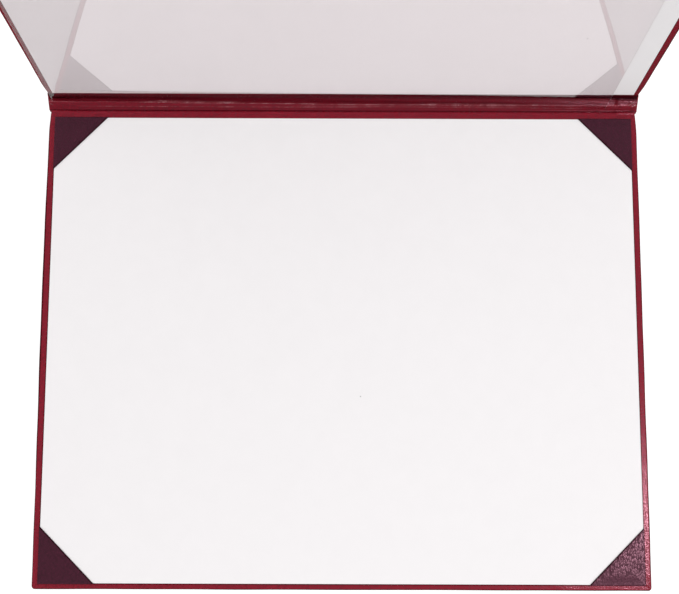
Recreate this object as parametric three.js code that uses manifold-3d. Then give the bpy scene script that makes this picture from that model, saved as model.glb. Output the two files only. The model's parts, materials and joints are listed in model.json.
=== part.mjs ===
// Diploma cover, half open: two leatherette panels joined by a soft spine with two creases.
// Millimetres, +Z up. The lower panel lies flat with the middle of its underside at the origin,
// its hinge edge towards +Y, and the upper panel stands up behind it, leaning back a little.
import * as THREE from 'three';
import { mergeVertices } from 'three/addons/utils/BufferGeometryUtils.js';
import Module from 'manifold-3d';

const wasm = await Module();
wasm.setup();

// Sheet goods
const filmWidth = 279.4; // the clear sheet is cut to letter size
const filmHeight = 215.9;
const filmThickness = 0.2;
const linerWidth = 289;
const linerHeight = 227.6;
const linerThickness = 0.35;
const boardThickness = 1.8;
const skinThickness = 0.35; // leatherette
const glueLine = 0.1; // space left between glued layers

// Panel outline
const sideBorder = 3.5; // leatherette showing beside the liner card
const frontBorder = 3; // in front of it
const hingeBorder = 3.8; // and between it and the spine
const panelCornerRadius = 1.6;
const panelEdgeRadius = 0.8; // the skin rounds the edges of the board
const turnIn = 15; // width of the margins folded over the inner face of the board

// Corner holders
const holderLeg = 26.2;
const holderFlap = 9; // width of the strips folded behind the liner card
const flapThickness = 0.2; // the leatherette is pared thin there

// Spine and creases
const creaseGap = 0.5; // between the edge of a panel and the spine folded square to it
const closedGap = 0.35; // between the clear sheet and the corner holders of the closed cover
const filmRestGap = 0.3; // between the clear sheet and the upper liner card
const lowerCreaseBend = THREE.MathUtils.degToRad(26.5);
const upperCreaseBend = THREE.MathUtils.degToRad(49.2);
const spineRidge = 0.35; // how far the lining swells in the middle of the gutter
const spineOverhang = 0.5; // the folded ends of the spine stand out past the sides of the panels

// Place of the clear sheet on the upper panel
const filmTurn = THREE.MathUtils.degToRad(0.5);
const filmOverhang = 1.5; // its left edge at the foot, past the edge of the liner card
const filmFootGap = 0.25; // left between its lowest corner and the lining of the closed cover

// Heights in a panel, from its outer face inwards
const boardBase = skinThickness + glueLine;
const turnInBase = boardBase + boardThickness + glueLine;
const turnInTop = turnInBase + skinThickness;
const linerBase = turnInTop + glueLine / 2 + flapThickness + glueLine / 2;
const linerTop = linerBase + linerThickness;
const holderTop = linerTop + glueLine / 2 + skinThickness;
const filmBase = linerTop + filmRestGap;
const filmTop = filmBase + filmThickness;

// Sizes worked out from the ones above
const panelWidth = linerWidth + 2 * sideBorder;
const panelHeight = linerHeight + frontBorder + hingeBorder;
const spineLength = panelWidth + 2 * spineOverhang;
const liningTop = 2 * skinThickness + glueLine;
const creaseSetback = liningTop + spineRidge + creaseGap; // from a panel's edge to its crease
const filmFootDrop = creaseGap - filmFootGap; // its lowest corner, past the hinge edge of the panel
const spineWidth = holderTop + closedGap + filmTop; // crease to crease, so that the cover closes flat
const creaseSlit = skinThickness + glueLine; // what a square fold needs between skin and spine
const holderWrap = skinThickness + glueLine / 2; // how far a holder stands out past the liner card

const BURGUNDY = 0x6a1526;
const DARK_BURGUNDY = 0x4a1a2c;
const WHITE = 0xf2f2f0;
const GREYBOARD = 0x9a948a;

function material(color, roughness) {
  return new THREE.MeshStandardMaterial({ color, roughness, metalness: 0 });
}

const leatherette = material(BURGUNDY, 0.45);
const holderLeatherette = material(DARK_BURGUNDY, 0.5);
const whiteCard = material(WHITE, 0.7);
const greyboard = material(GREYBOARD, 0.9);
const clearFilm = material(WHITE, 0.1);
clearFilm.transparent = true;
clearFilm.opacity = 0.3;

// A closed three.js geometry as a solid that can be cut and joined. Its coordinates are rounded, so
// that faces meant to lie in one plane do.
function toSolid(geometry) {
  const step = 1e-4;
  const plain = geometry.index ? geometry.toNonIndexed() : geometry.clone();
  plain.deleteAttribute('normal');
  plain.deleteAttribute('uv');
  const { position } = plain.attributes;
  position.array.forEach((value, i) => {
    position.array[i] = Math.round(value / step) * step;
  });
  const merged = mergeVertices(plain, step / 2);
  return new wasm.Manifold(new wasm.Mesh({
    numProp: 3,
    vertProperties: merged.attributes.position.array,
    triVerts: new Uint32Array(merged.index.array),
  }));
}

function toMesh(name, solid, surface) {
  const { vertProperties, triVerts } = solid.getMesh();
  const geometry = new THREE.BufferGeometry();
  geometry.setAttribute('position', new THREE.BufferAttribute(new Float32Array(vertProperties), 3));
  geometry.setIndex(new THREE.BufferAttribute(new Uint32Array(triVerts), 1));
  const mesh = new THREE.Mesh(geometry, surface);
  mesh.name = name;
  return mesh;
}

// Panel coordinates: x across, y from the hinge edge to the front edge, z from the outer face inwards.
// A rectangle there, y0 to y1 and centred in x, with rounded corners.
function rectangle(width, y0, y1, radius) {
  const half = width / 2;
  const corners = [
    [half - radius, y0 + radius, -Math.PI / 2],
    [half - radius, y1 - radius, 0],
    [-half + radius, y1 - radius, Math.PI / 2],
    [-half + radius, y0 + radius, Math.PI],
  ];
  if (radius <= 0) {
    return new THREE.Shape(corners.map(([x, y]) => new THREE.Vector2(x, y)));
  }
  const shape = new THREE.Shape();
  for (const [x, y, start] of corners) {
    shape.absarc(x, y, radius, start, start + Math.PI / 2, false);
  }
  return shape;
}

// A plate of that outline from z0 to z1, with its edges rounded by edge on both faces
function plate(shape, z0, z1, edge = 0) {
  const geometry = new THREE.ExtrudeGeometry(shape, {
    depth: z1 - z0 - 2 * edge,
    curveSegments: 5,
    bevelEnabled: edge > 0,
    bevelThickness: edge,
    bevelSize: edge,
    bevelOffset: -edge,
    bevelSegments: 4,
  });
  geometry.translate(0, 0, z0 + edge);
  return toSolid(geometry);
}

function board() {
  const inset = skinThickness + glueLine;
  const outline = rectangle(
    panelWidth - 2 * inset, inset, panelHeight - inset, panelCornerRadius - inset,
  );
  const edge = Math.min(panelEdgeRadius - skinThickness, boardThickness / 2);
  return plate(outline, boardBase, boardBase + boardThickness, edge);
}

// Leatherette round one board: outer face, edges, margins folded over the inner face, and a lip
// along the hinge edge that reaches the crease
function coverSkin() {
  const outer = plate(
    rectangle(panelWidth, 0, panelHeight, panelCornerRadius), 0, turnInTop, panelEdgeRadius,
  );
  const hollow = plate(
    rectangle(panelWidth - 2 * skinThickness, skinThickness, panelHeight - skinThickness,
      panelCornerRadius - skinThickness),
    skinThickness, turnInBase, panelEdgeRadius - skinThickness,
  );
  const window = plate(
    rectangle(panelWidth - 2 * turnIn, turnIn, panelHeight - turnIn, 0), boardBase, turnInTop + 1,
  );
  const lip = plate(rectangle(panelWidth, -creaseSetback, 2 * panelEdgeRadius, 0), 0, skinThickness);
  return outer.add(lip).subtract(hollow).subtract(window);
}

function linerCard() {
  return plate(rectangle(linerWidth, hingeBorder, hingeBorder + linerHeight, 0), linerBase, linerTop);
}

// Right triangle with its square corner at (corner, corner) and its long side between the axes
function triangle(corner, leg) {
  return new THREE.Shape([
    new THREE.Vector2(corner, corner),
    new THREE.Vector2(leg, corner),
    new THREE.Vector2(corner, leg),
  ]);
}

// Corner holder, with the corner of the liner card at the origin: it covers the front of the card,
// wraps its two edges and folds behind it in two narrow strips
function cornerHolder() {
  const back = turnInTop + glueLine / 2;
  const body = plate(triangle(-holderWrap, holderLeg + holderWrap), back, holderTop);
  const pocket = plate(
    triangle(-glueLine / 2, 2 * holderLeg), back + flapThickness, linerTop + glueLine / 2,
  );
  const behind = plate(triangle(holderFlap, 2 * holderLeg), back - 1, linerBase);
  return body.subtract(pocket).subtract(behind);
}

// Strip across the spine, in its own frame: x across, y from the lower crease to the upper one,
// z inwards. swell raises its inner face in a low arch.
function spineStrip(z0, z1, swell) {
  const start = creaseSlit;
  const end = spineWidth - creaseSlit;
  const profile = new THREE.Shape();
  profile.moveTo(start, z0);
  profile.lineTo(end, z0);
  profile.lineTo(end, z1);
  if (swell > 0) {
    profile.quadraticCurveTo((start + end) / 2, z1 + 2 * swell, start, z1);
  } else {
    profile.lineTo(start, z1);
  }
  profile.closePath();
  const geometry = new THREE.ExtrudeGeometry(profile, {
    depth: spineLength,
    curveSegments: 10,
    bevelEnabled: false,
  });
  // the profile's x runs along +Y, its y along +Z and its depth along +X
  const toSpine = new THREE.Matrix4().makeBasis(
    new THREE.Vector3(0, 1, 0), new THREE.Vector3(0, 0, 1), new THREE.Vector3(1, 0, 0),
  );
  geometry.applyMatrix4(toSpine);
  geometry.translate(-spineLength / 2, 0, 0);
  return toSolid(geometry);
}

// The clear sheet lies on the upper liner card, turned a little so that its right foot is lowest
function clearSheet() {
  const leftFoot = filmWidth * Math.sin(filmTurn) - filmFootDrop;
  return plate(rectangle(filmWidth, 0, filmHeight, 0), filmBase, filmTop)
    .translate([filmWidth / 2, 0, 0])
    .rotate([0, 0, -THREE.MathUtils.radToDeg(filmTurn)])
    .translate([-linerWidth / 2 - filmOverhang, leftFoot, 0]);
}

function panel(prefix) {
  const group = new THREE.Group();
  group.add(toMesh(`${prefix}_board`, board(), greyboard));
  group.add(toMesh(`${prefix}_cover_skin`, coverSkin(), leatherette));
  group.add(toMesh(`${prefix}_liner_card`, linerCard(), whiteCard));
  return group;
}

// Lower panel: its hinge edge towards +Y, so panel coordinates are turned half round
const hingeEdge = panelHeight / 2;
const lowerPanel = panel('lower');
lowerPanel.rotation.z = Math.PI;
lowerPanel.position.set(0, hingeEdge, 0);

// Corners of the liner card in panel coordinates, named as seen by a reader in front of the cover
const cardCorners = [
  ['corner_holder_back_right', -1, hingeBorder, 0],
  ['corner_holder_back_left', 1, hingeBorder, 90],
  ['corner_holder_front_left', 1, hingeBorder + linerHeight, 180],
  ['corner_holder_front_right', -1, hingeBorder + linerHeight, 270],
];
for (const [name, side, y, turn] of cardCorners) {
  const holder = cornerHolder().rotate([0, 0, turn]).translate([side * linerWidth / 2, y, 0]);
  lowerPanel.add(toMesh(name, holder, holderLeatherette));
}

// Spine: turned up at the lower crease
const spine = new THREE.Group();
spine.position.set(0, hingeEdge + creaseSetback, 0);
spine.rotation.x = lowerCreaseBend;
spine.add(toMesh('spine_band', spineStrip(0, skinThickness, 0), leatherette));
spine.add(toMesh('spine_lining', spineStrip(skinThickness + glueLine, liningTop, spineRidge), leatherette));

// Upper panel: turned up again at the upper crease
const upperHinge = new THREE.Group();
upperHinge.position.set(0, spineWidth, 0);
upperHinge.rotation.x = upperCreaseBend;
const upperPanel = panel('upper');
upperPanel.position.set(0, creaseSetback, 0);
upperPanel.add(toMesh('clear_sheet', clearSheet(), clearFilm));
upperHinge.add(upperPanel);
spine.add(upperHinge);

const diplomaCover = new THREE.Group();
diplomaCover.add(lowerPanel, spine);
diplomaCover.updateMatrixWorld(true);

export default diplomaCover;
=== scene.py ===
# %% [markdown]
# # A diploma cover, half open
#
# A diploma cover is a hard folder: two greyboard panels wrapped in one sheet of burgundy
# leatherette, with a soft spine between them. White liner cards face the insides, four leatherette
# corners hold the document, and a clear sheet protects it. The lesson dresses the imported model
# with its real surfaces, places the camera and lights it.

import json
import math

import bmesh
import bpy
import numpy as np
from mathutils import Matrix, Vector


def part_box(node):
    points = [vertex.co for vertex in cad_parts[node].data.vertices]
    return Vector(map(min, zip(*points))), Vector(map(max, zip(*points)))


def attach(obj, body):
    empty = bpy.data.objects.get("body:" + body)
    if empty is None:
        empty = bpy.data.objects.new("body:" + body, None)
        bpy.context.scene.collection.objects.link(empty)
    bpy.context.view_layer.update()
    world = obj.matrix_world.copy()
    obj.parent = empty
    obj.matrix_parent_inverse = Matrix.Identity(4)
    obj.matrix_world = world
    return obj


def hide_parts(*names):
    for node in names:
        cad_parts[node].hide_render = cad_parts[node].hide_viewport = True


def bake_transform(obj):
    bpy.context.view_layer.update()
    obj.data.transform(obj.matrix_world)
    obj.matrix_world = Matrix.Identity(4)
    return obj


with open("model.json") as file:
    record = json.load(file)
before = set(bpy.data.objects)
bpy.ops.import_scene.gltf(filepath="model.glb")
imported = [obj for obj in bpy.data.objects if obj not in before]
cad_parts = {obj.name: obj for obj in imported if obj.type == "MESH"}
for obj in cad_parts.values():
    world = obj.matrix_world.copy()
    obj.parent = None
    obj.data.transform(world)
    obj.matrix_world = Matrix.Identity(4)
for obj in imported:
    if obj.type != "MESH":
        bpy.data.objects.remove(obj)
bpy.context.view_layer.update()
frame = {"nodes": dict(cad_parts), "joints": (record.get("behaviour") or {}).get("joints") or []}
MM = 0.001
print("nodes:", sorted(frame["nodes"]))

# %% [markdown]
# ## Sizes
#
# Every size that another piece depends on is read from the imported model, so the dressing fits it.
# The creases are its two hinges. Each one can open until the cover is flat, so the angle that it
# has at rest is the far end of that range.

# %% Sizes read from the model
panel_low, panel_high = (np.array(corner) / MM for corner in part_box("lower_cover_skin"))
card_low, card_high = (np.array(corner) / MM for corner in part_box("lower_liner_card"))
holder_high = np.array(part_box("corner_holder_back_left")[1]) / MM
lower_joint, upper_joint = frame["joints"]
lower_crease = np.array(lower_joint["pos_m"]) / MM
upper_crease = np.array(upper_joint["pos_m"]) / MM
lower_bend = math.radians(-lower_joint["range_deg"][0])
upper_bend = math.radians(-upper_joint["range_deg"][0])

half_width = panel_high[0]
hinge_edge = -panel_low[1]  # the origin is the middle of the panel
panel_height = 2 * hinge_edge
panel_top = panel_high[2]
card_half_width = card_high[0]
card_top = card_high[2]
setback = lower_crease[1] - hinge_edge  # from a panel's edge to its crease
spine_width = np.linalg.norm(upper_crease - lower_crease)
print(f"panel {2 * half_width:.1f} by {panel_height:.1f} mm, spine {spine_width:.2f} mm")

# %% [markdown]
# ## Frames of the panels and the spine
#
# A panel is easiest to draw in its own coordinates: x across, y from the hinge edge to the far
# edge, z from the outer face inwards. The spine has its own too, with y from crease to crease.
# Each frame is an origin and three directions, and one function takes points from it to the model.

# %% Local frames


def turned(angle):
    """Directions of a frame turned up by angle about the X axis, as rows: across, along, inwards."""
    c, s = math.cos(angle), math.sin(angle)
    return np.array([[1, 0, 0], [0, c, s], [0, -s, c]])


SPINE = (lower_crease, turned(lower_bend))
UPPER_DIRECTIONS = turned(lower_bend + upper_bend)
UPPER = (upper_crease + setback * UPPER_DIRECTIONS[1], UPPER_DIRECTIONS)
LOWER = (np.array([0, hinge_edge, 0]), np.diag([-1.0, -1.0, 1.0]))


def to_model(points, place):
    """Origin plus each coordinate times its direction, for a whole array of points."""
    origin, directions = place
    return origin + points @ directions


print("upper panel stands at", round(math.degrees(lower_bend + upper_bend), 1), "degrees")

# %% [markdown]
# ## Helpers for meshes
#
# Nearly every piece here is a thin skin: a grid of points for its outer face, a second one for its
# inner face, and an edge that joins them. So one helper turns two grids into a closed skin, and
# the shapes themselves are plain numpy arrays.

# %% Mesh helpers


def grid_faces(rows, columns, wrap):
    """Four-sided faces between neighbouring points of a grid whose points are numbered row by row."""
    across = np.arange(columns if wrap else columns - 1)
    row, column = np.meshgrid(np.arange(rows - 1), across, indexing="ij")
    following = (column + 1) % columns
    corners = [
        row * columns + column,
        row * columns + following,
        (row + 1) * columns + following,
        (row + 1) * columns + column,
    ]
    return np.stack(corners, axis=-1).reshape(-1, 4)


def strip_faces(one, other):
    """Four-sided faces between two lists of point numbers of the same length."""
    return np.stack([one[:-1], one[1:], other[1:], other[:-1]], axis=-1)


def skin(outer, inner, rims, wrap=False):
    """Points and faces of a closed skin between two grids. rims names the sides where a flat edge
    joins them: start and end are the first and last row, left and right the outer columns."""
    rows, columns, _ = outer.shape
    number = np.arange(rows * columns).reshape(rows, columns)
    ends = {"start": number[0], "end": number[-1], "left": number[:, 0], "right": number[:, -1]}
    faces = [grid_faces(rows, columns, wrap)]
    faces.append(faces[0][:, ::-1] + number.size)
    for rim in rims:
        line = np.append(ends[rim], ends[rim][0]) if wrap else ends[rim]
        faces.append(strip_faces(line, line + number.size))
    points = np.concatenate([outer.reshape(-1, 3), inner.reshape(-1, 3)])
    return points, np.concatenate(faces)


def mesh_piece(name, points, faces, sharp_degrees=50):
    """An object made of points in millimetres. Doubles are welded, faces turned outwards, and edges
    sharper than the given angle stay crisp under smooth shading."""
    mesh = bpy.data.meshes.new(name)
    mesh.vertices.add(len(points))
    mesh.vertices.foreach_set("co", (points * MM).astype(np.float32).ravel())
    mesh.loops.add(faces.size)
    mesh.loops.foreach_set("vertex_index", faces.astype(np.int32).ravel())
    mesh.polygons.add(len(faces))
    mesh.polygons.foreach_set("loop_start", np.arange(0, faces.size, faces.shape[1], dtype=np.int32))
    mesh.update(calc_edges=True)
    mesh.validate()
    shape = bmesh.new()
    shape.from_mesh(mesh)
    bmesh.ops.remove_doubles(shape, verts=shape.verts, dist=2e-4 * MM)
    bmesh.ops.dissolve_degenerate(shape, edges=shape.edges, dist=1e-4 * MM)
    bmesh.ops.recalc_face_normals(shape, faces=shape.faces)
    open_edges = sum(1 for edge in shape.edges if not edge.is_manifold)
    shape.to_mesh(mesh)
    shape.free()
    mesh.polygons.foreach_set("use_smooth", np.ones(len(mesh.polygons), bool))
    mesh.set_sharp_from_angle(angle=math.radians(sharp_degrees))
    piece = bpy.data.objects.new(name, mesh)
    bpy.context.scene.collection.objects.link(piece)
    print(f"{name}: {len(mesh.polygons)} faces, {open_edges} open edges")
    return piece


# %% [markdown]
# ## Helpers for outlines
#
# Leatherette pulled round a board gives soft corners and edges. An arc helper draws them, and a
# spacing helper puts more points near the ends of a line, where the corners need them.

# %% Outline helpers


def arc(centre, radius, start, end, steps):
    """Points on a circle: centre plus radius times cosine and sine, from one angle to another."""
    angle = np.radians(np.linspace(start, end, steps))
    return np.stack([centre[0] + radius * np.cos(angle), centre[1] + radius * np.sin(angle)], axis=-1)


def crowded_ends(steps, pull=2.8):
    """Numbers from 0 to 1 that lie closer together near both ends, by a hyperbolic tangent."""
    even = np.linspace(-1, 1, steps)
    return (1 + np.tanh(pull * even) / math.tanh(pull)) / 2


def smooth(x):
    """0 below 0, 1 above 1, and a soft S between: 3x squared minus 2x cubed."""
    x = np.clip(x, 0, 1)
    return x * x * (3 - 2 * x)


def slow_wave(x, seed, length, terms=4):
    """A gentle irregular line between about -1 and 1: sines whose waves are length and shorter."""
    random = np.random.default_rng(seed)
    waves = length / (1 + np.arange(terms) * random.uniform(0.6, 1.1, terms))
    phase = random.uniform(0, 2 * math.pi, terms)
    return np.sin(np.asarray(x)[..., None] * (2 * math.pi / waves) + phase).sum(axis=-1) / terms**0.6


def local_points(piece, place):
    """The points of a piece in millimetres, in the coordinates of a panel or of the spine."""
    points = np.empty(len(piece.data.vertices) * 3, np.float32)
    piece.data.vertices.foreach_get("co", points)
    origin, directions = place
    return ((points.reshape(-1, 3) / MM - origin) @ directions.T).T


def mark(piece, name, values):
    """Keeps one number for each point of a piece, which its material reads by name."""
    attribute = piece.data.attributes.new(name, "FLOAT", "POINT")
    attribute.data.foreach_set("value", np.clip(values, 0, 1).astype(np.float32))


print("crowded ends of five steps:", crowded_ends(5).round(3))

# %% [markdown]
# ## Camera
#
# The photograph looks down on the cover from about 40 cm. The focal length and the place come from
# matching the corners of both liner cards, and the camera is barely turned.

# %% Camera
PICTURE_WIDTH = 679  # in pixels, as is the focal length
FOCAL_LENGTH = 830
CAMERA_PLACE = (-0.00185, -0.0179, 0.41015)
CAMERA_TURN = (5.76, -0.07, 0.19)  # degrees about X, Y and Z
camera_data = bpy.data.cameras.new("camera")
camera_data.sensor_fit = "HORIZONTAL"
camera_data.sensor_width = 36
camera_data.lens = FOCAL_LENGTH / PICTURE_WIDTH * camera_data.sensor_width
camera = bpy.data.objects.new("camera", camera_data)
camera.location = CAMERA_PLACE
camera.rotation_euler = [math.radians(turn) for turn in CAMERA_TURN]
bpy.context.scene.collection.objects.link(camera)
bpy.context.scene.camera = camera
print("lens", round(camera_data.lens, 1), "mm")

# %% [markdown]
# ## Material helpers
#
# Colours are written as they look on a screen, so one function turns them to linear light. Another
# adds a node with its settings and its links, which keeps each material short enough to read.

# %% Material helpers


def colour(code):
    """Linear light from an sRGB hex code: the usual power curve with a straight foot."""
    parts = [int(code[i : i + 2], 16) / 255 for i in (1, 3, 5)]
    return tuple(p / 12.92 if p <= 0.04045 else ((p + 0.055) / 1.055) ** 2.4 for p in parts) + (1,)


def scale_of(size):
    """Scale of a texture whose features are this many millimetres long: one over the length."""
    return 1 / (size * MM)


def add(tree, kind, inputs=None, **settings):
    """Adds a node. settings are its properties, and inputs its sockets: values, or outputs to link."""
    made = tree.nodes.new(kind)
    for name, value in settings.items():
        setattr(made, name, value)
    for socket, value in (inputs or {}).items():
        if isinstance(value, bpy.types.NodeSocket):
            tree.links.new(value, made.inputs[socket])
        else:
            made.inputs[socket].default_value = value
    return made


def new_material(name):
    """A material with an empty tree, ready for its nodes."""
    made = bpy.data.materials.new(name)
    made.use_nodes = True
    made.node_tree.nodes.clear()
    return made, made.node_tree


def dress(piece, material):
    """Gives a piece this material alone."""
    piece.data.materials.clear()
    piece.data.materials.append(material)
    return piece


# %% [markdown]
# ## Leatherette
#
# Leatherette is paper or cloth coated with vinyl and embossed with a fine pebble grain. Each pebble
# is about 0.7 mm wide, its valleys are darker, and the satin coating breaks a highlight into grains.
# The highlights are pink, as the photograph shows them, so the specular tint has a colour of its
# own. A Voronoi pattern in real millimetres gives the pebbles, noise gives the slower change of
# tone. The corner holders are cut from a darker stock, so the recipe takes its colours as arguments.
# Two attributes also paint light into the colour: a pale painted highlight on crests, and painted
# shade, darker and duller, in creases, grooves and on edges where shadow falls.

# %% Leatherette recipe
PEBBLE = 0.65
ROW_BEND = 2.5  # the rows of pebbles wander over this length
PORE = 0.18
DYE_CLOUD = 28
EMBOSSED_DEPTH = 0.024
# painted highlight colour, laid on crests and wrinkle tops where the lamp would glint
PAINTED_HIGHLIGHT_PALE = "#e7b4b8"
# painted shade colour, laid in creases, grooves and on edges where shadow falls
PAINTED_SHADE_DARK = "#21040a"
PINK_GLOSS = (1.0, 0.5, 0.64, 1.0)
# specular level, and the lower level where shade is painted
SHINE, SHADED_SHINE = 0.3, 0.04


def leatherette(name, face, valley, roughness, stretch=1.0):
    """Vinyl-coated leatherette, embossed: pebbles from Voronoi cells, tone from slow noise. Two
    attributes of a piece paint light on it: the first lays a pale painted highlight, broken up by
    the pebbles, where a glint would be; the second lays painted shade, darker and duller, where
    shadow falls."""
    made, tree = new_material(name)
    place = add(tree, "ShaderNodeTexCoord").outputs["Object"]
    longer = add(tree, "ShaderNodeMapping", {"Vector": place, "Scale": (1, 1 / stretch, 1)}).outputs[0]
    wander = add(tree, "ShaderNodeTexNoise", {"Vector": longer, "Scale": scale_of(ROW_BEND), "Detail": 2})
    bent = add(
        tree, "ShaderNodeMix", {0: 0.0006, 4: longer, 5: wander.outputs["Color"]}, data_type="VECTOR"
    ).outputs[1]
    cells = add(
        tree, "ShaderNodeTexVoronoi", {"Vector": bent, "Scale": scale_of(PEBBLE), "Smoothness": 0.6},
        feature="SMOOTH_F1",
    ).outputs["Distance"]
    pores = add(
        tree, "ShaderNodeTexNoise", {"Vector": longer, "Scale": scale_of(PORE), "Detail": 2}
    ).outputs["Fac"]
    tone = add(
        tree, "ShaderNodeTexNoise", {"Vector": place, "Scale": scale_of(DYE_CLOUD), "Detail": 4}
    ).outputs["Fac"]
    valleys = add(
        tree, "ShaderNodeMapRange", {"Value": cells, 1: 0.25, 2: 0.75}, interpolation_type="SMOOTHSTEP"
    ).outputs[0]
    lit = add(tree, "ShaderNodeMapRange", {"Value": tone, 1: 0.3, 2: 0.7, 3: 0.0, 4: 0.35}).outputs[0]
    shade = add(tree, "ShaderNodeMath", {0: valleys, 1: lit}, operation="MAXIMUM").outputs[0]
    paint = add(
        tree, "ShaderNodeMix", {0: shade, 6: colour(face), 7: colour(valley)}, data_type="RGBA"
    ).outputs[2]
    # painted light: one attribute paints a highlight, the other paints shade
    painted_highlight = add(tree, "ShaderNodeAttribute", attribute_name="painted_highlight").outputs["Fac"]
    painted_shade = add(tree, "ShaderNodeAttribute", attribute_name="painted_shade").outputs["Fac"]
    paint = add(
        tree, "ShaderNodeMix", {0: painted_shade, 6: paint, 7: colour(PAINTED_SHADE_DARK)}, data_type="RGBA"
    ).outputs[2]
    # the painted highlight is broken into grains by the pebbles, as glints would be
    broken = add(
        tree, "ShaderNodeMapRange", {"Value": cells, 1: 0.2, 2: 0.6, 3: 1.0, 4: 0.25}
    ).outputs[0]
    highlight_share = add(tree, "ShaderNodeMath", {0: painted_highlight, 1: broken}, operation="MULTIPLY").outputs[0]
    paint = add(
        tree, "ShaderNodeMix", {0: highlight_share, 6: paint, 7: colour(PAINTED_HIGHLIGHT_PALE)}, data_type="RGBA"
    ).outputs[2]
    gloss = add(
        tree, "ShaderNodeMapRange", {"Value": valleys, 3: roughness, 4: roughness + 0.2}
    ).outputs[0]
    fine = add(tree, "ShaderNodeMath", {0: pores, 1: 0.14}, operation="MULTIPLY").outputs[0]
    height = add(tree, "ShaderNodeMath", {0: fine, 1: cells}, operation="SUBTRACT").outputs[0]
    bump = add(
        tree, "ShaderNodeBump", {"Height": height, "Strength": 1.0, "Distance": EMBOSSED_DEPTH * MM}
    ).outputs[0]
    # less specular where shade is painted, so the painted shade also dulls the gloss
    shine = add(
        tree, "ShaderNodeMapRange", {"Value": painted_shade, 2: 0.6, 3: SHINE, 4: SHADED_SHINE}
    ).outputs[0]
    body = add(
        tree, "ShaderNodeBsdfPrincipled",
        {
            "Base Color": paint, "Roughness": gloss, "Normal": bump, "IOR": 1.5,
            "Specular IOR Level": shine, "Specular Tint": PINK_GLOSS,
        },
    )
    add(tree, "ShaderNodeOutputMaterial", {"Surface": body.outputs[0]})
    print("material", name)
    return made


cover_leatherette = leatherette("burgundy_leatherette", "#8c1628", "#6b0c1a", 0.13)
holder_leatherette = leatherette(
    "dark_burgundy_leatherette", "#3f1526", "#2e0d1a", 0.22, stretch=1.8
)

# %% [markdown]
# ## Card and board
#
# The liners are smooth white cover stock: matt, very slightly cloudy, with paper fibres too fine to
# count. Two specks of dust lie on them in the photograph, and they stay. The greyboard inside is
# recycled board, brown grey with darker fibres.

# %% Card and board recipes
LOWER_SPECK = (0.0089, -0.0255, 0.00335)
UPPER_SPECK = (0.1091, 0.1349, 0.0522)
PAPER_CLOUD = 9
PAPER_FIBRE = 0.25
BOARD_FLECK = 0.9


def white_card():
    """White cover stock: cloudy tone from slow noise, a fibre bump, and dust where the specks lie."""
    made, tree = new_material("white_liner_card")
    place = add(tree, "ShaderNodeTexCoord").outputs["Object"]
    clouds = add(tree, "ShaderNodeTexNoise", {"Vector": place, "Scale": scale_of(PAPER_CLOUD), "Detail": 5})
    paint = add(
        tree, "ShaderNodeMix",
        {0: clouds.outputs["Fac"], 6: colour("#f7f4f5"), 7: colour("#f4f1f2")}, data_type="RGBA",
    ).outputs[2]
    for speck in (LOWER_SPECK, UPPER_SPECK):
        away = add(tree, "ShaderNodeVectorMath", {0: place, 1: speck}, operation="DISTANCE").outputs[1]
        dust = add(tree, "ShaderNodeMapRange", {"Value": away, 1: 0.0002, 2: 0.0004, 3: 0.6, 4: 0.0})
        paint = add(
            tree, "ShaderNodeMix", {0: dust.outputs[0], 6: paint, 7: colour("#6d6a6a")},
            data_type="RGBA",
        ).outputs[2]
    fibres = add(
        tree, "ShaderNodeTexNoise", {"Vector": place, "Scale": scale_of(PAPER_FIBRE), "Detail": 3}
    ).outputs["Fac"]
    bump = add(tree, "ShaderNodeBump", {"Height": fibres, "Strength": 0.5, "Distance": 0.012 * MM})
    body = add(
        tree, "ShaderNodeBsdfPrincipled",
        {"Base Color": paint, "Roughness": 0.62, "Normal": bump.outputs[0], "IOR": 1.45},
    )
    add(tree, "ShaderNodeOutputMaterial", {"Surface": body.outputs[0]})
    return made


def grey_board():
    """Recycled greyboard: flecks of darker fibre in a brown grey pulp."""
    made, tree = new_material("greyboard")
    place = add(tree, "ShaderNodeTexCoord").outputs["Object"]
    flecks = add(
        tree, "ShaderNodeTexNoise", {"Vector": place, "Scale": scale_of(BOARD_FLECK), "Detail": 6}
    ).outputs["Fac"]
    paint = add(
        tree, "ShaderNodeMix", {0: flecks, 6: colour("#a29b90"), 7: colour("#857e74")},
        data_type="RGBA",
    ).outputs[2]
    bump = add(tree, "ShaderNodeBump", {"Height": flecks, "Strength": 0.6, "Distance": 0.05 * MM})
    body = add(
        tree, "ShaderNodeBsdfPrincipled",
        {"Base Color": paint, "Roughness": 0.9, "Normal": bump.outputs[0]},
    )
    add(tree, "ShaderNodeOutputMaterial", {"Surface": body.outputs[0]})
    return made


card, board = white_card(), grey_board()
for prefix in ("lower", "upper"):
    dress(frame["nodes"][f"{prefix}_liner_card"], card)
    dress(frame["nodes"][f"{prefix}_board"], board)
print("dressed the liner cards and the boards")

# %% [markdown]
# ## Clear film
#
# The protective sheet is cast acetate, 0.2 mm thick. It is seen by what it mirrors and by its cut
# edges, which scatter light and show as hairlines. A clear shader on a real slab gives the mirror
# of both faces. Acetate has an index of about 1.5, but the photographed sheet mirrors the corners
# more strongly, so the index is raised until it does. The cut edge is a second material, pale and
# matt.

# %% Film recipe


def acetate_film():
    """Clear acetate: smooth on both faces and fully clear, with a strong mirror image."""
    made, tree = new_material("clear_acetate_film")
    body = add(
        tree, "ShaderNodeBsdfPrincipled",
        {"Base Color": colour("#fffbfc"), "Roughness": 0.015, "IOR": 1.9, "Transmission Weight": 1.0},
    )
    add(tree, "ShaderNodeOutputMaterial", {"Surface": body.outputs[0]})
    return made


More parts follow.
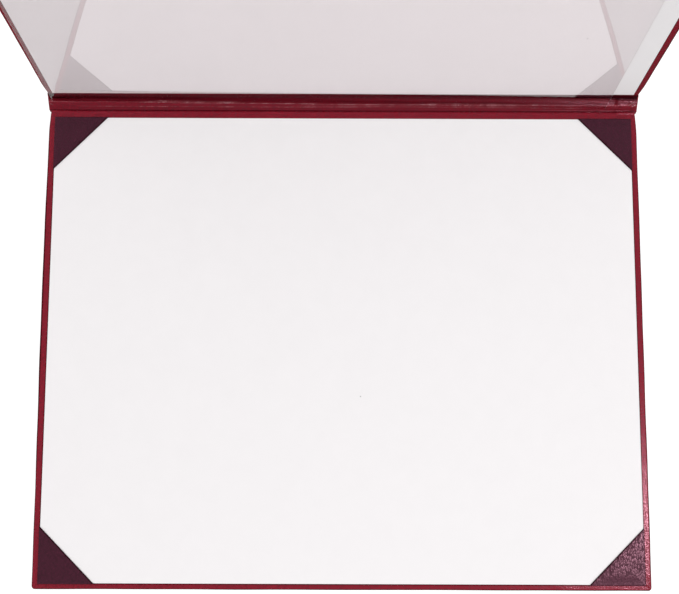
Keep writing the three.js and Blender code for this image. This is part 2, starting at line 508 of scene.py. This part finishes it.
def cut_film_edge():
    """The sheared edge of the film: rough, so it scatters light instead of passing it."""
    made, tree = new_material("cut_acetate_edge")
    body = add(
        tree, "ShaderNodeBsdfPrincipled",
        {"Base Color": colour("#f2e6e9"), "Roughness": 0.5, "IOR": 1.49},
    )
    add(tree, "ShaderNodeOutputMaterial", {"Surface": body.outputs[0]})
    return made


film_clear, film_edge = acetate_film(), cut_film_edge()
print("materials for the film:", film_clear.name, film_edge.name)

# %% [markdown]
# ## The covers
#
# The leatherette runs across the outer face of each board, turns round its edges and is glued down
# in a margin on the inner face. Box modelling would need many loops. It is simpler to carry one
# section round the panel: rings that start at the middle of the outer face, widen to the edge, roll
# over it and shrink again to the end of the margin. The same rings, a skin's thickness further in,
# make the inner side.

# %% Rings round a panel
card_edge = hinge_edge - card_high[1]  # from a panel's hinge edge to its liner card
card_far = hinge_edge - card_low[1]
SKIN = 0.33
MARGIN = 15
CORNER = 1.6
EDGE = 0.8


def panel_rings(inset, corner, columns=110):
    """Rings in panel coordinates: the outline shrunk by inset, with quarter circles of radius corner
    at its corners. Each side is split by the same crowded spacing, so ring follows ring."""
    right, near, far = half_width - inset, inset, panel_height - inset
    left = -right
    along = crowded_ends(columns)[:-1]
    turn = np.linspace(0, math.pi / 2, 10)[:-1]
    corners = [
        (right - corner, near + corner, -math.pi / 2),
        (right - corner, far - corner, 0),
        (left + corner, far - corner, math.pi / 2),
        (left + corner, near + corner, math.pi),
    ]
    pieces = []
    for index, (x, y, start) in enumerate(corners):
        angle = start + turn
        curve_x = x[:, None] + corner[:, None] * np.cos(angle)
        curve_y = y[:, None] + corner[:, None] * np.sin(angle)
        next_x, next_y, next_start = corners[(index + 1) % 4]
        from_x = x + corner * math.cos(start + math.pi / 2)
        from_y = y + corner * math.sin(start + math.pi / 2)
        to_x = next_x + corner * math.cos(next_start)
        to_y = next_y + corner * math.sin(next_start)
        side_x = from_x[:, None] + (to_x - from_x)[:, None] * along
        side_y = from_y[:, None] + (to_y - from_y)[:, None] * along
        pieces.append(np.stack([curve_x, curve_y], axis=-1))
        pieces.append(np.stack([side_x, side_y], axis=-1))
    return np.concatenate(pieces, axis=1)


def cover_section(away, bottom_radius):
    """Inset and height along the skin, away from its outer face: across the outer face, round the
    lower edge, up the side, round the upper edge and in to the end of the margin."""
    deep = panel_height / 2 - np.linspace(0, 1, 14) ** 0.7 * (panel_height / 2 - 3 * EDGE)
    face = np.stack([deep, np.full(len(deep), away)], axis=-1)
    low = arc((bottom_radius, bottom_radius), bottom_radius - away, -90, -180, 10)
    high = arc((EDGE, panel_top - EDGE), EDGE - away, 180, 90, 10)
    near_card = np.linspace(EDGE, 4.6, 26)[1:]
    spread = np.append(near_card, np.linspace(4.6, MARGIN, 9)[1:])
    margin = np.stack([spread, np.full(len(spread), panel_top - away)], axis=-1)
    return np.concatenate([face, low, high, margin])


print("points in the section:", len(cover_section(0, EDGE)))

# %% [markdown]
# ## Small signs of the hand
#
# Glued margins are never quite flat. Where two of them meet at a corner one lies over the other
# along a slanting fold, the edges wander by a tenth of a millimetre, and the leatherette swells a
# little between its glue lines. Each of these is a small sum added to the exact rings.

# %% Covers
SIDE_BOW = 0.55  # one side bows out by this much
BOW_LENGTH = 190
DRAWN_IN = 0.5  # both sides are drawn in by this much next to the spine
DRAWN_LENGTH = 11
EDGE_WANDER = 0.06
MARGIN_SWELL = 0.035
FOLD_HEIGHT, FOLD_DIP, OVERLAP = 0.16, 0.14, 0.07  # of the mitre folds


def worked_by_hand(points, seed):
    """Moves the points of a cover a little: the mitre folds of the margins, wandering edges, one
    side bowed out, both drawn in next to the spine, and a soft swell on the margins."""
    x, y, z = (points[..., i].copy() for i in range(3))
    from_side = half_width - np.abs(x)
    from_end = np.minimum(y, panel_height - y)
    inside = smooth((z - panel_top + 1.0) / 0.6)
    across = from_side - from_end
    near = np.maximum(from_side, from_end)
    crest = FOLD_HEIGHT * np.exp(-((across + 0.25) ** 2) / 0.05)
    fold = crest - FOLD_DIP * np.exp(-((across - 0.15) ** 2) / 0.03)
    overlap = OVERLAP * smooth((across + 0.3) / 0.6)
    z += inside * (-0.03 + (overlap - 0.04 + 0.5 * fold) * np.exp(-near / 7))
    on_margin = smooth((3.4 - np.minimum(from_side, from_end)) / 3)
    z += inside * MARGIN_SWELL * slow_wave(x + 1.7 * y, seed, 46) * on_margin
    edge_x = smooth(1 - from_side / 6) * np.sign(x)
    bowed = SIDE_BOW * np.sin(np.clip(y / BOW_LENGTH, 0, 1) * math.pi) * (x > 0)
    x += edge_x * (bowed + EDGE_WANDER * (1 + slow_wave(y, seed + 1, 120)))
    x -= DRAWN_IN * edge_x * smooth(1 - y / DRAWN_LENGTH)
    edge_y = smooth(1 - (panel_height - y) / 6)
    y += edge_y * EDGE_WANDER * (1 + slow_wave(x, seed + 2, 140))
    return np.stack([x, y, z], axis=-1)


def painted_shade_on_cover(x, y, z):
    """Painted shade: dark where the skin dips beside the liner card, in the card's shadow, and on
    the panel's outer edges, which turn away from the light.
    """
    past_card = np.maximum(np.abs(x) - card_half_width, np.maximum(card_edge - y, y - card_far))
    shade_beside_card = 0.85 * np.exp(-(((past_card - 0.3) / 0.3) ** 2)) * (z > panel_top - 0.5)
    outside = np.minimum(half_width - np.abs(x), np.minimum(y, panel_height - y))
    return shade_beside_card + 0.7 * smooth((0.6 - outside) / 0.4)


def cover(name, node, place, body, seed):
    """Leatherette round one panel, as a closed skin."""
    faces = []
    for away in (0, SKIN):
        inset, height = cover_section(away, EDGE).T
        corner = np.maximum(CORNER - inset, 0.12) * smooth((panel_height / 2 - inset) / 3)
        rings = panel_rings(inset, corner)
        tall = np.broadcast_to(height[:, None, None], rings.shape[:2] + (1,))
        faces.append(worked_by_hand(np.concatenate([rings, tall], axis=-1), seed))
    points, quads = skin(*faces, rims=("end",), wrap=True)
    piece = dress(mesh_piece(name, to_model(points, place), quads), cover_leatherette)
    # painted shade beside the liner card and along the panel's outer edges
    mark(piece, "painted_shade", painted_shade_on_cover(*local_points(piece, place)))
    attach(piece, body)
    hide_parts(node)
    return piece


cover("lower_cover", "lower_cover_skin", LOWER, "lower_panel", 3)
cover("upper_cover", "upper_cover_skin", UPPER, "upper_panel", 8)

# %% [markdown]
# ## The spine
#
# Between the panels the outer leatherette runs free, and an inner strip is glued over its back. Both
# are one path in the side view, with rounded bends, carried across the width. The path is drawn
# from corner points and a radius for each. Each strip is made in two halves that meet on the stiff
# middle of the spine.

# %% Paths with rounded bends


def rounded_path(corners, radii, step=0.16):
    """Points a step apart along straight lines whose corners are replaced by arcs that touch them."""
    corners = np.asarray(corners, float)
    points = [corners[:1]]
    for before, here, after, radius in zip(corners, corners[1:], corners[2:], radii):
        incoming = (before - here) / np.linalg.norm(before - here)
        outgoing = (after - here) / np.linalg.norm(after - here)
        half = math.acos(np.clip(incoming @ outgoing, -1, 1)) / 2
        reach = radius / math.tan(half)
        middle = here + (incoming + outgoing) / np.linalg.norm(incoming + outgoing) * (
            radius / math.sin(half)
        )
        first, last = here + incoming * reach - middle, here + outgoing * reach - middle
        sweep = math.acos(np.clip(first @ last / radius**2, -1, 1))
        share = np.linspace(0, 1, max(4, int(sweep * radius / step) + 2))[:, None]
        curve = first * np.sin((1 - share) * sweep) + last * np.sin(share * sweep)
        points.append(middle + curve / math.sin(sweep))
    points.append(corners[-1:])
    rough = np.concatenate(points)
    travelled = np.append(0, np.cumsum(np.linalg.norm(np.diff(rough, axis=0), axis=1)))
    even = np.linspace(0, travelled[-1], int(travelled[-1] / step) + 2)
    return np.stack([np.interp(even, travelled, rough[:, i]) for i in (0, 1)], axis=-1)


def path_normals(path):
    """Unit directions to the left of a path, from the slope at each point."""
    slope = np.gradient(path, axis=0)
    slope /= np.linalg.norm(slope, axis=1, keepdims=True)
    return np.stack([-slope[:, 1], slope[:, 0]], axis=-1)


def side_view(x_y_z):
    """The y and z of a point, as the side view shows it."""
    return np.asarray(x_y_z)[1:]


def on_spine(s, height):
    """Side view of a point on the spine: s from the lower crease, height inwards."""
    return side_view(to_model(np.array([0, s, height]), SPINE))


def on_upper(y, height):
    """Side view of a point on the upper panel: y from its hinge edge, height inwards."""
    return side_view(to_model(np.array([0, y, height]), UPPER))


def on_lower(y, height):
    """Side view of a point on the lower panel: y from its hinge edge, height inwards."""
    return side_view(to_model(np.array([0, y, height]), LOWER))


print("upper hinge edge in the side view:", on_upper(0, 0).round(2))

# %% [markdown]
# ## The outer strip of the spine
#
# This is the same sheet as the covers. Its two ends are turned in, so a rounded fold shows at the
# head and at the tail. The section across the spine has that fold, and the path gives the bends.

# %% Outer strip
STRIP_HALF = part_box("spine_band")[1][0] / MM + 0.6  # the folded ends puff out a little
STRIP = 0.3
FOLD_RADIUS = 0.31
TURNED_IN = 12
HALFWAY = spine_width / 2
NARROWER = 1.3  # each strip is this much less wide on each side where it meets a cover
NARROWING_LENGTH = 2.4
FACE_POINTS = 150  # across the outer face


def folded_section(away):
    """Across and inwards, from one turned-in end round its fold, over the outer face and back in."""
    end = STRIP_HALF - FOLD_RADIUS
    low, high = away, 2 * FOLD_RADIUS - away
    across = end * (2 * crowded_ends(FACE_POINTS, 2.4) - 1)
    fold = arc((-end, FOLD_RADIUS), FOLD_RADIUS - away, 90, 270, 9)
    start = np.array([[-end + TURNED_IN, high], [-end + TURNED_IN / 2, high]])
    face = np.stack([across, np.full(FACE_POINTS, low)], axis=-1)[1:-1]
    half = np.concatenate([start, fold])
    return np.concatenate([half, face, (half * [-1, 1])[::-1]])


def carried(section, path, panel_end):
    """Each point of a section at each point of a path: across stays x, inwards follows the normal.
    The strip narrows towards the side view's point where it meets a panel."""
    normal = path_normals(path)
    from_panel = np.linalg.norm(path - panel_end, axis=1)
    narrower = NARROWER * smooth(1 - from_panel / NARROWING_LENGTH)
    across = section[None, :, 0] * (1 - narrower / STRIP_HALF)[:, None]
    y_z = path[:, None] + section[None, :, 1:] * normal[:, None]
    return np.concatenate([across[..., None], y_z], axis=-1)


def outer_strip(name, path, panel_end):
    """One half of the outer leatherette between the panels, as a closed skin along a bent path."""
    faces = [carried(folded_section(away), path, panel_end) for away in (0, STRIP)]
    points, quads = skin(*faces, rims=("start", "end", "left", "right"))
    piece = dress(mesh_piece(name, points, quads), cover_leatherette)
    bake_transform(piece)
    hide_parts("spine_band")
    return piece


lower_strip_path = rounded_path(
    [on_lower(EDGE, 0), side_view(lower_crease), on_spine(HALFWAY, 0)], [3.0]
)
upper_strip_path = rounded_path(
    [on_spine(HALFWAY, 0), side_view(upper_crease), on_upper(EDGE, 0)], [2.0]
)
outer_strip(
    "spine_outer_lower", lower_strip_path, on_lower(EDGE, 0),
)
outer_strip(
    "spine_outer_upper", upper_strip_path, on_upper(EDGE, 0),
)

# %% [markdown]
# ## The lining in the gutter
#
# The inner strip starts under the lower liner card, drops over the edge of the board, crosses the
# spine and climbs to the upper card. In the photograph a low ridge runs along it, a little askew,
# with short wrinkles beside it that catch the light. The ridge and each wrinkle are soft bumps
# added along the normal: a tent for the ridge, a bell around a line for a wrinkle.
# The crest and the wrinkle tops get a painted highlight, and the creases and the far side of the ridge
# painted shade.

# %% Lining
LINING_HALF = STRIP_HALF - 0.8
PARED = 0.12
AIR = 0.02  # the lining stays this far off what lies below it
LINING_TOP = 0.8
LINING_WALL = 0.3
UNDER_CARD = 3.2
MARGIN_INSET = 1.2  # the glued margins end this far inside the ends of the strip
MEETING = 5.4  # where the halves of the lining meet, above the ridge
RIDGE_HEIGHT = 0.5
WRINKLES = [
    # start across and along, end across and along, height, width
    (-99, 4.75, -50, 4.15, 0.13, 0.16),
    (-88, 3.45, -60, 3.25, 0.08, 0.14),
    (40, 3.75, 103, 3.45, 0.12, 0.16),
    (52, 2.45, 96, 2.3, 0.07, 0.15),
    (-138, 1.75, 20, 1.6, 0.05, 0.2),
    (-30, 2.35, 128, 1.45, 0.05, 0.22),
    (143.9, 2.9, 147.2, 4.9, 0.25, 0.2),
    (145.9, 2.4, 148.1, 3.7, 0.25, 0.18),
    (-148.0, 3.0, -146.4, 2.3, 0.2, 0.2),
    (-148.0, 5.2, -146.4, 4.2, 0.1, 0.2),
]


def beside(x, s, wrinkle):
    """A wrinkle's height at points x, s: a bell of its distance from the line between its ends."""
    x0, s0, x1, s1, height, width = wrinkle
    run, rise = x1 - x0, s1 - s0
    share = np.clip(((x - x0) * run + (s - s0) * rise) / (run**2 + rise**2), 0, 1)
    away = np.hypot(x - x0 - share * run, s - s0 - share * rise)
    fade = smooth(share / 0.12) * smooth((1 - share) / 0.12)
    return height * fade * np.exp(-((away / width) ** 2))


def crest_of(x):
    """How far the ridge's crest lies from the lower crease, at x across."""
    return np.interp(x, [-147, -97, 0, 130], [4.05, 4.05, 3.2, 2.93]) + 0.08 * slow_wave(x, 21, 60)


def lining_relief(x, s):
    """Height of the lining above its flat course, at x across and s from the lower crease."""
    crest = crest_of(x)
    off = np.sqrt((s - crest) ** 2 + 0.01) - 0.1
    reach = np.where(s < crest, crest - 0.4, spine_width - 0.9 - crest)
    ridge = RIDGE_HEIGHT * np.clip(1 - off / reach, 0, 1) ** 1.5
    grain = 0.025 * slow_wave(x * 0.6 + 9 * s, 23, 26, 6) * smooth(s) * smooth(spine_width - 0.6 - s)
    over_fold = 0.2 * smooth((np.abs(x) - STRIP_HALF + TURNED_IN) / 2)
    in_gutter = smooth((s + 1.2) / 0.8) * smooth((spine_width + 1.2 - s) / 0.8)
    return in_gutter * (ridge + over_fold + grain + sum(beside(x, s, w) for w in WRINKLES))


def painted_crest_highlight(x, s):
    """Painted highlight: the crest of the ridge and the tops of the wrinkles are painted pale, in
    broken stretches, where they would catch the lamp.
    """
    patches = smooth(0.35 + 0.5 * slow_wave(x, 27, 34, 6))
    stretch = smooth((x + 104) / 8) * smooth((120 - x) / 40)
    line = np.exp(-(((s - crest_of(x)) / 0.16) ** 2)) * (0.3 + 1.3 * patches * stretch)
    return line + sum(4 * beside(x, s, wrinkle) * (0.35 + patches) for wrinkle in WRINKLES)


def painted_shade_in_gutter(x, s, height, upper_y):
    """Painted shade: dark in both creases and up the wall of the upper panel, and darker on the
    shaded side behind the ridge than on the lit side before it. upper_y is the place along the upper
    panel."""
    lower_line = 0.75 * np.exp(-(((s + 0.2) / 0.3) ** 2))
    upper_wall = 0.88 * smooth((upper_y + 3.2) / 1.4) * smooth((4.2 - upper_y) / 2.5)
    behind = 0.42 * smooth((s - crest_of(x) - 0.15) / 0.6)
    before = 0.2 * smooth((s - 0.3) / 0.5) * smooth((crest_of(x) - s) / 0.6)
    on_floor = np.where(height < 2.4, np.maximum(lower_line, behind + before), 0)
    return np.maximum(on_floor, upper_wall)


def lining_half(name, path, thickness):
    """A strip of lining along a path, with its relief on top and its own thickness below. Where it
    is pared thin it is glued to a board, and there its ends are cut back."""
    x = LINING_HALF * (2 * crowded_ends(360) - 1)
    normal = path_normals(path)
    s = (path - side_view(lower_crease)) @ side_view(SPINE[1][1])
    grid_x, grid_s = np.meshgrid(x, s)
    glued = (LINING_WALL - AIR - thickness) / (LINING_WALL - PARED)
    grid_x = grid_x * (1 - MARGIN_INSET / LINING_HALF * glued)[:, None]
    faces = []
    for lift in (lining_relief(grid_x, grid_s), -thickness[:, None] + 0 * grid_x):
        y_z = path[:, None] + lift[..., None] * normal[:, None]
        faces.append(np.concatenate([grid_x[..., None], y_z], axis=-1))
    points, quads = skin(*faces, rims=("start", "end", "left", "right"))
    piece = dress(mesh_piece(name, points, quads), cover_leatherette)
    x, s, height = local_points(piece, SPINE)
    # painted highlight on the crest of the ridge and the tops of the wrinkles
    mark(piece, "painted_highlight", np.where(height < 2.4, painted_crest_highlight(x, s), 0))
    # painted shade in the creases, up the upper panel's wall and behind the ridge
    mark(piece, "painted_shade", painted_shade_in_gutter(x, s, height, local_points(piece, UPPER)[1]))
    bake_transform(piece)
    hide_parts("spine_lining")
    return piece


def pared(path, margin_end):
    """Thickness along a lining path: pared on the margin that is glued to a board, full in the gutter."""
    travelled = np.append(0, np.cumsum(np.linalg.norm(np.diff(path, axis=0), axis=1)))
    return PARED - AIR + (LINING_WALL - PARED) * smooth((travelled - margin_end) / 1.2)


margin_top = panel_top + PARED
half_lower, half_upper = math.tan(lower_bend / 2), math.tan(upper_bend / 2)
lower_lining_path = rounded_path(
    [
        on_lower(card_edge + UNDER_CARD, margin_top),
        on_lower(-LINING_WALL, margin_top),
        on_lower(-LINING_WALL, LINING_TOP),
        on_lower(-setback + LINING_TOP * half_lower, LINING_TOP),
        on_spine(MEETING, LINING_TOP),
    ],
    [0.8, 0.55, 1.0],
    step=0.2,
)
upper_lining_path = rounded_path(
    [
        on_upper(card_edge + UNDER_CARD, margin_top),
        on_upper(-LINING_WALL, margin_top),
        on_upper(-LINING_WALL, LINING_TOP),
        on_upper(-setback + LINING_TOP * half_upper, LINING_TOP),
        on_spine(MEETING, LINING_TOP),
    ],
    [0.8, 0.5, 0.8],
    step=0.2,
)
margin_length = card_edge + UNDER_CARD
lining_half(
    "spine_lining_lower", lower_lining_path, pared(lower_lining_path, margin_length),
)
lining_half(
    "spine_lining_upper", upper_lining_path[::-1], pared(upper_lining_path, margin_length)[::-1],
)

# %% [markdown]
# ## The corner holders
#
# A holder is a triangle of darker leatherette. It lies over the corner of the liner card, wraps its
# two edges and is glued behind. An L-shaped line along those two edges is the natural row: the
# rows start at the middle of the long side, grow out to the card's edges, roll over them and come
# back in below. The long side is the open mouth that the document slips into.

# %% Corner holders
HOLDER_LEG = 26.2
HOLDER_EDGE = 0.4
HOLDER_SKIN = 0.33
FLAP = 9
FLAP_SKIN = 0.12
FLAP_BASE = panel_top + 0.16
holder_top = holder_high[2]


def holder_section(inner):
    """Place of the L-shaped rows and their height, from the middle of the long side outwards, down
    the edge and in below the card. inner gives the side that touches the card."""
    top, below = (HOLDER_SKIN, FLAP_SKIN) if inner else (0, 0)
    spread = HOLDER_LEG / 2 * (1 - np.linspace(0, 1, 30) ** 0.7)
    face = np.stack([spread, np.full(len(spread), holder_top - top)], axis=-1)[:-1]
    roll = arc((0, holder_top - HOLDER_EDGE), HOLDER_EDGE - top, 90, 180, 8)
    foot = 0.02 if inner else 0.14
    corner = (-HOLDER_EDGE + top + foot, FLAP_BASE + below + foot)
    under = arc(corner, foot, 180, 270, 5)
    back = np.linspace(corner[0], FLAP, 9)[1:]
    flap = np.stack([back, np.full(len(back), FLAP_BASE + below)], axis=-1)
    return np.concatenate([face, roll, under, flap])


def l_rows(place, corner, columns=44):
    """Rows shaped like an L, place away from the card's two edges, rounded by corner at the bend.
    Their ends lie on the long side, where the two coordinates add up to the leg."""
    along = crowded_ends(columns, 2.0)
    turn = np.radians(np.linspace(-90, -180, 9))[1:-1]
    far = HOLDER_LEG - place
    bend = place + corner
    first = far[:, None] + (bend - far)[:, None] * along
    level = np.broadcast_to(place[:, None], first.shape)
    arm = np.stack([first, level], axis=-1)
    circle = np.stack([np.cos(turn), np.sin(turn)], axis=-1)
    curve = bend[:, None, None] + corner[:, None, None] * circle
    return np.concatenate([arm, curve, arm[:, ::-1, ::-1]], axis=1)


def holder_relief(x, y, seed):
    """The skin lies proud of the card between its glued edges and the mouth, and dips at the mouth."""
    mouth = (HOLDER_LEG - x - y) / math.sqrt(2)
    edge = np.minimum(x, y)
    swell = smooth(edge / 5) * smooth(mouth / 5)
    pull = slow_wave((x - y) * 0.9, seed, 19) * smooth((8 - mouth) / 8)
    return 0.13 * swell + 0.02 * pull * smooth(edge / 3) - 0.02 * smooth(1 - mouth / 1.5)


def corner_holder(node, side, y, quarter_turns, seed):
    """A holder on one corner of the lower liner card. The corner's place and turn are in panel
    coordinates."""
    spin = np.linalg.matrix_power(np.array([[0, 1], [-1, 0]]), quarter_turns)
    faces = []
    for inner in (False, True):
        place, height = holder_section(inner).T
        corner = np.maximum(0.5 - place - HOLDER_EDGE, 0.06) * smooth((HOLDER_LEG / 2 - place) / 2)
        rows = l_rows(place, corner)
        tall = np.broadcast_to(height[:, None], rows.shape[:2]).copy()
        upper_side = smooth((height - card_top + 0.1) / 0.3)[:, None]
        tall += upper_side * holder_relief(rows[..., 0], rows[..., 1], seed)
        flat = rows @ spin + [side * card_half_width, y]
        faces.append(np.concatenate([flat, tall[..., None]], axis=-1))
    points, quads = skin(*faces, rims=("end", "left", "right"))
    piece = mesh_piece(f"{node}_leatherette", to_model(points, LOWER), quads)
    rim = piece.modifiers.new("soft_rim", "BEVEL")
    rim.width, rim.segments, rim.limit_method = 0.1 * MM, 2, "ANGLE"
    rim.angle_limit = math.radians(50)
    dress(piece, holder_leatherette)
    x, panel_y, height = local_points(piece, LOWER)
    from_card = np.abs(panel_y - y) + card_half_width - np.abs(x)
    mouth_shadow = smooth((from_card - HOLDER_LEG + 1.1) / 0.9)
    # painted shade: a dark line along the mouth, where the holder's edge casts its shadow, and on the
    # wrapped edges below the card's top
    mark(piece, "painted_shade", 0.9 * mouth_shadow + 0.5 * smooth((card_top - height) / 0.3))
    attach(piece, "lower_panel")
    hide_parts(node)
    return piece


corner_holder("corner_holder_back_right", -1, card_edge, 0, 31)
corner_holder("corner_holder_back_left", 1, card_edge, 1, 32)
corner_holder("corner_holder_front_left", 1, card_far, 2, 33)
corner_holder("corner_holder_front_right", -1, card_far, 3, 34)

# %% [markdown]
# ## The clear sheet
#
# The film is cut to letter size and lies loose on the upper card, turned by half a degree. Its foot
# stands on the lining in the gutter, and its right side stands off a little, so the sheet is very
# slightly twisted. A gentle wave keeps its mirror image from being perfect.

# %% Clear sheet
FILM_WIDTH, FILM_HEIGHT, FILM = 279.4, 215.9, 0.2
FILM_TURN = math.radians(0.5)
FOOT_LEFT = (-146.5, -3.35)  # its lowest left corner, in the upper panel's coordinates
FILM_GAP = 0.3
FOOT_STAND_OFF = 1.65
FILM_WAVE = 0.03


def film_faces():
    """Both faces of the sheet in the upper panel's coordinates. The stand-off grows to the right and
    fades towards the top, so each face is a twisted plane with a slow wave on it."""
    across, along = np.meshgrid(
        FILM_WIDTH * crowded_ends(90, 1.2), FILM_HEIGHT * crowded_ends(80, 1.2), indexing="ij"
    )
    c, s = math.cos(FILM_TURN), math.sin(FILM_TURN)
    x = FOOT_LEFT[0] + c * across + s * along
    y = FOOT_LEFT[1] - s * across + c * along
    stand_off = FOOT_STAND_OFF * across / FILM_WIDTH * (1 - along / FILM_HEIGHT)
    wave = slow_wave(across + 0.4 * along, 41, 210, 3) + slow_wave(along, 42, 170, 3)
    base = card_top + FILM_GAP + stand_off + FILM_WAVE * wave
    return [np.stack([x, y, base + lift], axis=-1) for lift in (FILM, 0)]


points, quads = skin(*film_faces(), rims=("start", "end", "left", "right"))
clear_sheet = mesh_piece("clear_sheet_film", to_model(points, UPPER), quads)
dress(clear_sheet, film_clear)
clear_sheet.data.materials.append(film_edge)
film_normals = np.empty(3 * len(clear_sheet.data.polygons), np.float32)
clear_sheet.data.polygons.foreach_get("normal", film_normals)
cut_faces = np.abs(film_normals.reshape(-1, 3) @ UPPER[1][2]) < 0.5
clear_sheet.data.polygons.foreach_set("material_index", cut_faces.astype(np.int32))
clear_sheet.visible_shadow = False
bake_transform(clear_sheet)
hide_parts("clear_sheet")

# %% [markdown]
# ## Floor, backdrop and light
#
# The photograph is a cut-out on white. The floor is a white sheet that glows for the camera alone,
# so it reads as white and still takes a soft shadow. The world does the same for the backdrop.

# %% Floor and backdrop
FLOOR_HALF = 3000
FLOOR_LEVEL = -0.02
FLOOR_GLOW = 0.75
HORIZON_STRENGTH, ZENITH_STRENGTH = 0.48, 0.93


def seen_directly(tree):
    """1 for rays that show the backdrop: from the camera, off gloss and through film."""
    rays = add(tree, "ShaderNodeLightPath")
    either = add(
        tree, "ShaderNodeMath", {0: rays.outputs["Is Camera Ray"], 1: rays.outputs["Is Glossy Ray"]},
        operation="MAXIMUM",
    ).outputs[0]
    return add(
        tree, "ShaderNodeMath", {0: either, 1: rays.outputs["Is Transmission Ray"]},
        operation="MAXIMUM",
    ).outputs[0]


def white_floor():
    """A matt pale floor whose glow, which makes it white, is added for the camera and through film.
    Gloss mirrors a darker tone, so the sides of the leatherette and the film stay rich."""
    made, tree = new_material("white_studio_floor")
    mirrored = add(tree, "ShaderNodeLightPath").outputs["Is Glossy Ray"]
    tone = add(
        tree, "ShaderNodeMix", {0: mirrored, 6: colour("#bebebe"), 7: colour("#8c8c8c")},
        data_type="RGBA",
    ).outputs[2]
    matt = add(tree, "ShaderNodeBsdfDiffuse", {"Color": tone})
    glow = add(tree, "ShaderNodeEmission", {"Color": (1, 1, 1, 1), "Strength": FLOOR_GLOW})
    both = add(tree, "ShaderNodeAddShader", {0: matt.outputs[0], 1: glow.outputs[0]})
    rays = add(tree, "ShaderNodeLightPath")
    seen = add(
        tree, "ShaderNodeMath",
        {0: rays.outputs["Is Camera Ray"], 1: rays.outputs["Is Transmission Ray"]},
        operation="MAXIMUM",
    ).outputs[0]
    shown = add(tree, "ShaderNodeMixShader", {0: seen, 1: matt.outputs[0], 2: both.outputs[0]})
    add(tree, "ShaderNodeOutputMaterial", {"Surface": shown.outputs[0]})
    return made


corner = np.array([[-1, -1, 0], [1, -1, 0], [1, 1, 0], [-1, 1, 0]]) * FLOOR_HALF
floor = mesh_piece("floor", corner + [0, 0, FLOOR_LEVEL], np.array([[0, 1, 2, 3]]))
dress(floor, white_floor())

world = bpy.data.worlds.new("white_studio")
bpy.context.scene.world = world
world.use_nodes = True
world.node_tree.nodes.clear()
direction = add(world.node_tree, "ShaderNodeTexCoord").outputs["Generated"]
upwards = add(world.node_tree, "ShaderNodeSeparateXYZ", {0: direction}).outputs["Z"]
lit_from_above = add(
    world.node_tree, "ShaderNodeMapRange",
    {"Value": upwards, 3: HORIZON_STRENGTH, 4: ZENITH_STRENGTH},
)
strength = add(
    world.node_tree, "ShaderNodeMix",
    {0: seen_directly(world.node_tree), 2: lit_from_above.outputs[0], 3: 1.0},
)
sky = add(
    world.node_tree, "ShaderNodeBackground", {"Color": (1, 1, 1, 1), "Strength": strength.outputs[0]}
)
add(world.node_tree, "ShaderNodeOutputWorld", {"Surface": sky.outputs[0]})

# %% [markdown]
# ## Lamps
#
# Two lamps join the white sky. The small key hangs above the right, where its mirror image falls on
# the lower right border and makes the leatherette glint there. A broad weak one fills in the front.

# %% Lamps
KEY_PLACE = (0.745, -0.353, 1.63)
FILL_PLACE = (0.1, -1.2, 0.65)


def facing(direction):
    """Turns that point a lamp's -Z along a direction."""
    length = np.linalg.norm(direction)
    tilt = math.acos(-direction[2] / length)
    return (tilt, 0, math.atan2(-direction[0], direction[1]))


def soft_box(name, place, width, height, power, aim=(0, 0, 0)):
    """A rectangular lamp at a place in metres, turned to its aim."""
    data = bpy.data.lights.new(name, "AREA")
    data.shape, data.size, data.size_y, data.energy = "RECTANGLE", width, height, power
    lamp = bpy.data.objects.new(name, data)
    lamp.location = place
    lamp.rotation_euler = facing(np.array(aim, float) - np.array(place, float))
    bpy.context.scene.collection.objects.link(lamp)
    print(f"{name}: {power} W from {np.linalg.norm(place):.2f} m away")
    return lamp


soft_box("key", KEY_PLACE, 0.11, 0.16, 7.2)
soft_box("front_fill", FILL_PLACE, 0.9, 0.5, 1.2, aim=(0, 0.1, 0.1))
bpy.context.scene.view_settings.view_transform = "Standard"
